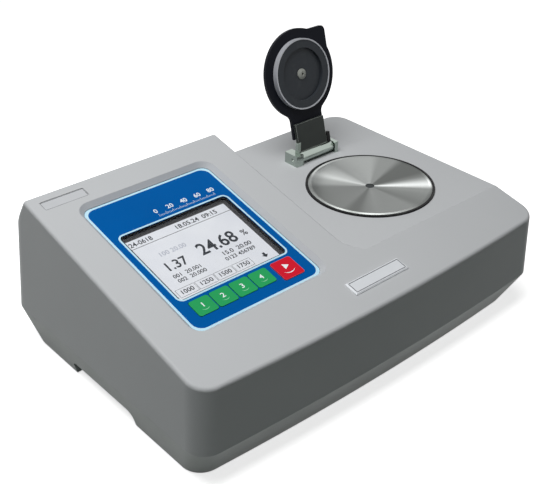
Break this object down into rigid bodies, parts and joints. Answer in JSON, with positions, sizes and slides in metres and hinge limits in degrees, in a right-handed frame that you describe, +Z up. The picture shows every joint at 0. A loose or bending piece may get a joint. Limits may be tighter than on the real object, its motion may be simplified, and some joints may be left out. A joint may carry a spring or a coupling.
{
  "type": "digital bench refractometer",
  "caption": "Grey bench instrument with a sloping keypad display console and a round steel sample stage under a hinged black light shield.",
  "frame": {"origin": "on the bench under the middle of the housing", "axes": "+X to the right along the front, +Y to the back, +Z up"},
  "size_m": [0.3672, 0.2582, 0.2135],
  "materials": {
    "housing": "light grey painted moulding",
    "tray": "light grey painted moulding",
    "rubber": "black rubber",
    "zinc_screw": "zinc plated steel",
    "overlay_blue": "blue printed overlay, satin",
    "black_plastic": "black moulding",
    "clear_pane": "clear",
    "lcd": "pale liquid crystal display",
    "steel_can": "stamped steel",
    "green_board": "green circuit board",
    "key_green": "green printed key",
    "key_red": "red printed key",
    "badge_metal": "satin aluminium",
    "label_film": "pale film",
    "turned_steel": "turned stainless steel",
    "sapphire": "polished dark prism",
    "nickel": "bright nickel plate",
    "black_metal": "black coated metal",
    "grey_ring": "grey anodised",
    "pale_boss": "pale moulding",
    "cast_alloy": "cast aluminium",
    "ceramic": "white ceramic faces",
    "brass": "brass",
    "rear_plate": "dark grey painted steel"
  },
  "bodies": {
    "housing": {"top_cover": "housing", "base_tray": "tray", "foot_pads": "rubber", "case_screws": "zinc_screw", "panel_overlay": "overlay_blue", "display_well_frame": "black_plastic", "display_window": "clear_pane", "display_panel": "lcd", "display_backlight": "steel_can", "display_board": "green_board", "key_domes": "steel_can", "key_board": "green_board", "front_nameplate": "badge_metal", "rear_label_plate": "label_film", "stage_gasket": "rubber", "sample_stage": "turned_steel", "prism": "sapphire", "prism_holder": "black_metal", "hinge_bracket": "nickel", "hinge_pin": "turned_steel", "hinge_screws": "zinc_screw", "hinge_stop_tab": "nickel", "optics_block": "cast_alloy", "lamp_housing": "black_metal", "lens_barrel": "cast_alloy", "sensor_board": "green_board", "thermo_module": "ceramic", "heat_sink": "cast_alloy", "optics_pillars": "steel_can", "fan_frame": "black_plastic", "fan_guard": "zinc_screw", "main_board": "green_board", "supply_board": "green_board", "board_standoffs": "brass", "board_chips": "black_plastic", "transformer": "steel_can", "supply_capacitors": "black_plastic", "rear_panel": "rear_plate", "rear_panel_screws": "zinc_screw", "mains_inlet": "black_plastic", "inlet_pins": "brass", "power_switch_frame": "black_plastic", "fuse_holder": "black_plastic", "serial_connector": "steel_can", "printer_connector": "steel_can"},
    "lid": {"hinge_barrel": "nickel", "lid_arm": "black_metal", "lid_plate": "black_metal", "lid_rim_ring": "grey_ring", "lid_seal": "rubber", "lid_boss": "pale_boss", "rubber_stopper": "rubber"},
    "start_key": {"start_key": "key_red"},
    "soft_key_1": {"soft_key_1": "key_green"},
    "soft_key_2": {"soft_key_2": "key_green"},
    "soft_key_3": {"soft_key_3": "key_green"},
    "soft_key_4": {"soft_key_4": "key_green"},
    "rocker": {"power_switch_rocker": "black_plastic"},
    "rotor": {"fan_rotor": "black_plastic"}
  },
  "joints": [
    {"name": "lid_hinge", "type": "hinge", "parent": "housing", "child": "lid", "pos_m": [0.0961, 0.0645, 0.1055], "axis": [1, 0, 0], "range_deg": [0, 105]},
    {"name": "start_key_press", "type": "slide", "parent": "housing", "child": "start_key", "axis": [0, 0.2242, -0.9745], "range_m": [0, 0.0005], "stiffness_N_per_m": 1000, "springref_m": -0.0002},
    {"name": "soft_key_1_press", "type": "slide", "parent": "housing", "child": "soft_key_1", "axis": [0, 0.2242, -0.9745], "range_m": [0, 0.0005], "stiffness_N_per_m": 1000, "springref_m": -0.0002},
    {"name": "soft_key_2_press", "type": "slide", "parent": "housing", "child": "soft_key_2", "axis": [0, 0.2242, -0.9745], "range_m": [0, 0.0005], "stiffness_N_per_m": 1000, "springref_m": -0.0002},
    {"name": "soft_key_3_press", "type": "slide", "parent": "housing", "child": "soft_key_3", "axis": [0, 0.2242, -0.9745], "range_m": [0, 0.0005], "stiffness_N_per_m": 1000, "springref_m": -0.0002},
    {"name": "soft_key_4_press", "type": "slide", "parent": "housing", "child": "soft_key_4", "axis": [0, 0.2242, -0.9745], "range_m": [0, 0.0005], "stiffness_N_per_m": 1000, "springref_m": -0.0002},
    {"name": "power_switch_rock", "type": "hinge", "parent": "housing", "child": "rocker", "pos_m": [-0.072, 0.116, 0.063], "axis": [1, 0, 0], "range_deg": [-16, 0]},
    {"name": "fan_spin", "type": "hinge", "parent": "housing", "child": "rotor", "pos_m": [0.0955, 0.106, 0.063], "axis": [0, 1, 0], "continuous": true}
  ]
}
